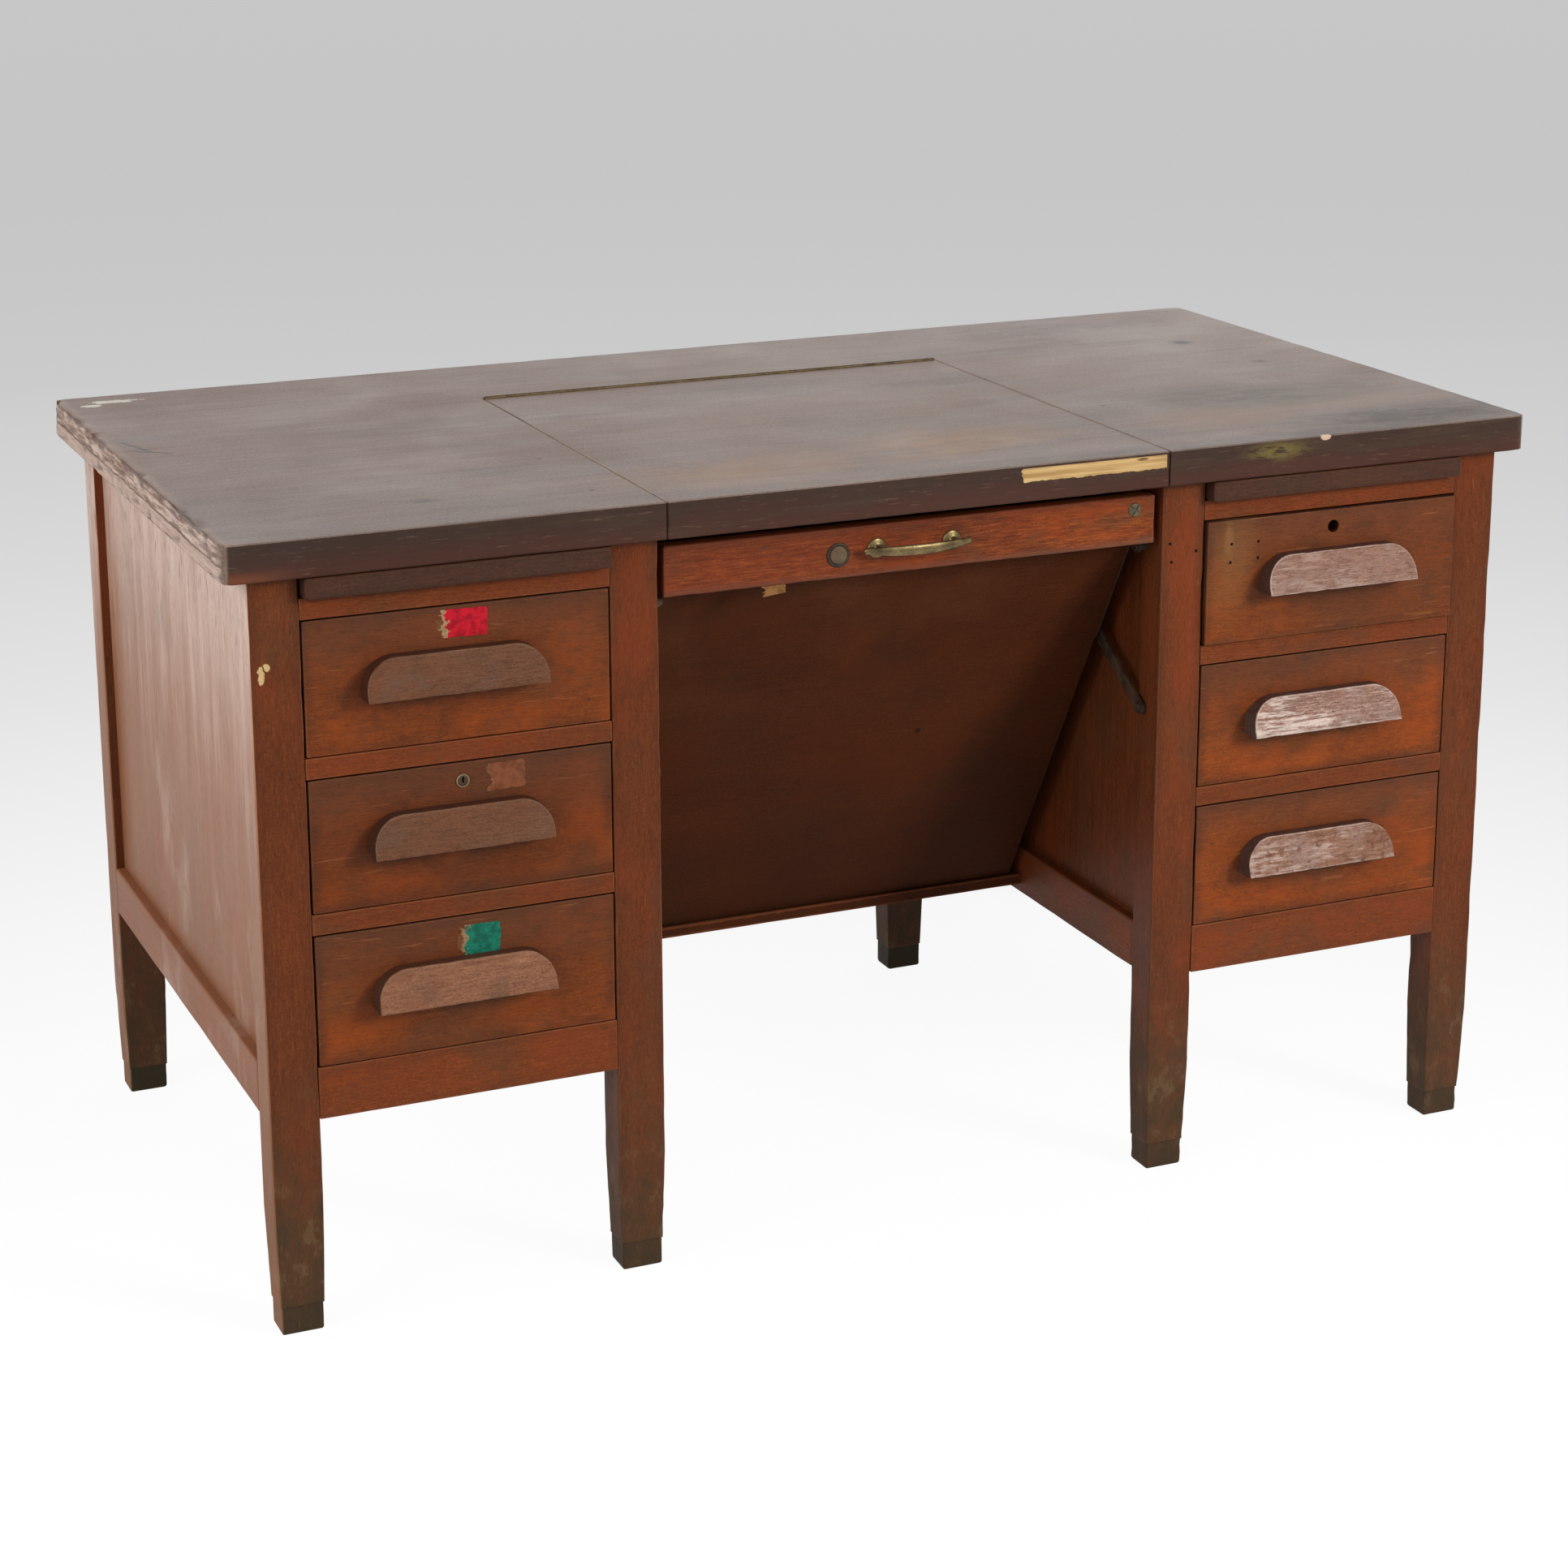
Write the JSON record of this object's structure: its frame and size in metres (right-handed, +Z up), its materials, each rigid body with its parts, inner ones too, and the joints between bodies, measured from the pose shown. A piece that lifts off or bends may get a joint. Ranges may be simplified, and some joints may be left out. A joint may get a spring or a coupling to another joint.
{
  "type": "typewriter desk",
  "caption": "Office desk of two drawer pedestals, pull-out writing slides and a centre lid over a tilting typewriter platform with an apron and slotted stays.",
  "frame": {"origin": "centre of the bounding box's bottom face, on the floor between the legs", "axes": "+X to the right of a sitter's view, along the desk's length; +Y to the back, away from the sitter; +Z up"},
  "size_m": [1.372, 0.725, 0.7762],
  "materials": {
    "oak_top": "worn, greyed varnish on oak veneer",
    "oak_carcass": "old reddish varnish on oak",
    "oak_front": "old reddish varnish with grime",
    "oak_slide": "dark grimy varnish",
    "oak_pull": "weathered and flaky varnish",
    "oak_apron": "orange varnish with strong grain",
    "plywood": "dark brown varnish",
    "drawer_wood": "bare hardwood",
    "brass_old": "dull antique brass",
    "dark_steel": "dark bronzed steel"
  },
  "bodies": {
    "carcass": {"desk_top": "oak_top", "lid_hinge_fixed_leaf": "brass_old", "lid_hinge_pin": "brass_old", "lid_bearers": "oak_carcass", "leg_left_outer_front": "oak_carcass", "leg_left_inner_front": "oak_carcass", "leg_left_outer_back": "oak_carcass", "leg_left_inner_back": "oak_carcass", "leg_right_inner_front": "oak_carcass", "leg_right_outer_front": "oak_carcass", "leg_right_inner_back": "oak_carcass", "leg_right_outer_back": "oak_carcass", "side_panel_left_outer": "oak_carcass", "side_panel_left_inner": "oak_carcass", "side_panel_right_inner": "oak_carcass", "side_panel_right_outer": "oak_carcass", "side_rails_left": "oak_carcass", "side_rails_right": "oak_carcass", "front_rails_left": "oak_carcass", "front_rails_right": "oak_carcass", "runners_left": "drawer_wood", "runners_right": "drawer_wood", "back_panels": "oak_carcass", "modesty_panel": "oak_carcass", "well_floor": "plywood", "platform_pivots": "dark_steel"},
    "lid": {"lid": "oak_top", "lid_hinge_lid_leaf": "brass_old"},
    "platform": {"platform_board": "plywood", "apron": "oak_apron", "apron_handle": "brass_old", "catch_sleeve": "dark_steel", "apron_screw": "dark_steel", "pivot_plates": "dark_steel"},
    "catch_button": {"catch_button": "brass_old"},
    "stay_left": {"stay_left": "dark_steel"},
    "stay_right": {"stay_right": "dark_steel"},
    "writing_slide_left": {"writing_slide_left": "oak_slide"},
    "writing_slide_right": {"writing_slide_right": "oak_slide"},
    "drawer_left_1": {"drawer_front_left_1": "oak_front", "drawer_box_left_1": "drawer_wood", "pull_left_1": "oak_pull"},
    "drawer_left_2": {"drawer_front_left_2": "oak_front", "drawer_box_left_2": "drawer_wood", "pull_left_2": "oak_pull", "drawer_lock_case": "brass_old"},
    "drawer_left_3": {"drawer_front_left_3": "oak_front", "drawer_box_left_3": "drawer_wood", "pull_left_3": "oak_pull"},
    "drawer_right_1": {"drawer_front_right_1": "oak_front", "drawer_box_right_1": "drawer_wood", "pull_right_1": "oak_pull"},
    "drawer_right_2": {"drawer_front_right_2": "oak_front", "drawer_box_right_2": "drawer_wood", "pull_right_2": "oak_pull"},
    "drawer_right_3": {"drawer_front_right_3": "oak_front", "drawer_box_right_3": "drawer_wood", "pull_right_3": "oak_pull"},
    "lock_plug": {"drawer_lock_plug": "brass_old"},
    "lock_bolt": {"drawer_lock_bolt": "brass_old"}
  },
  "joints": [
    {"name": "lid_hinge", "type": "hinge", "parent": "carcass", "child": "lid", "pos_m": [0, 0.179, 0.774], "axis": [-1, 0, 0], "range_deg": [0, 170]},
    {"name": "platform_hinge", "type": "hinge", "parent": "carcass", "child": "platform", "pos_m": [0, -0.3, 0.668], "axis": [1, 0, 0], "range_deg": [0, 60]},
    {"name": "stay_left_hinge", "type": "hinge", "parent": "carcass", "child": "stay_left", "pos_m": [0, -0.3035, 0.5], "axis": [1, 0, 0], "range_deg": [0, 20.32]},
    {"name": "stay_right_hinge", "type": "hinge", "parent": "carcass", "child": "stay_right", "pos_m": [0, -0.3035, 0.5], "axis": [1, 0, 0], "range_deg": [0, 20.32]},
    {"name": "catch_button_push", "type": "slide", "parent": "platform", "child": "catch_button", "axis": [0, 1, 0], "range_m": [0, 0.004], "stiffness_N_per_m": 400, "springref_m": -0.002},
    {"name": "writing_slide_left_pull", "type": "slide", "parent": "carcass", "child": "writing_slide_left", "axis": [0, -1, 0], "range_m": [0, 0.33]},
    {"name": "writing_slide_right_pull", "type": "slide", "parent": "carcass", "child": "writing_slide_right", "axis": [0, -1, 0], "range_m": [0, 0.33]},
    {"name": "drawer_left_1_pull", "type": "slide", "parent": "carcass", "child": "drawer_left_1", "axis": [0, -1, 0], "range_m": [0, 0.4]},
    {"name": "drawer_left_2_pull", "type": "slide", "parent": "carcass", "child": "drawer_left_2", "axis": [0, -1, 0], "range_m": [0, 0.4]},
    {"name": "drawer_left_3_pull", "type": "slide", "parent": "carcass", "child": "drawer_left_3", "axis": [0, -1, 0], "range_m": [0, 0.4]},
    {"name": "drawer_right_1_pull", "type": "slide", "parent": "carcass", "child": "drawer_right_1", "axis": [0, -1, 0], "range_m": [-0.005, 0.395]},
    {"name": "drawer_right_2_pull", "type": "slide", "parent": "carcass", "child": "drawer_right_2", "axis": [0, -1, 0], "range_m": [0, 0.4]},
    {"name": "drawer_right_3_pull", "type": "slide", "parent": "carcass", "child": "drawer_right_3", "axis": [0, -1, 0], "range_m": [0, 0.4]},
    {"name": "lock_plug_turn", "type": "hinge", "parent": "drawer_left_2", "child": "lock_plug", "pos_m": [-0.465, -0.3315, 0.526], "axis": [0, 1, 0], "range_deg": [0, 90]},
    {"name": "lock_bolt_throw", "type": "slide", "parent": "drawer_left_2", "child": "lock_bolt", "axis": [0, 0, 1], "range_m": [0, 0.006]}
  ],
  "couplings": [
    {"joint": "stay_left_hinge", "follows": "platform_hinge", "ratio": 0.3385},
    {"joint": "stay_right_hinge", "follows": "platform_hinge", "ratio": 0.3385},
    {"joint": "lock_plug_turn", "follows": "lock_bolt_throw", "rad_per_m": 261.79}
  ]
}
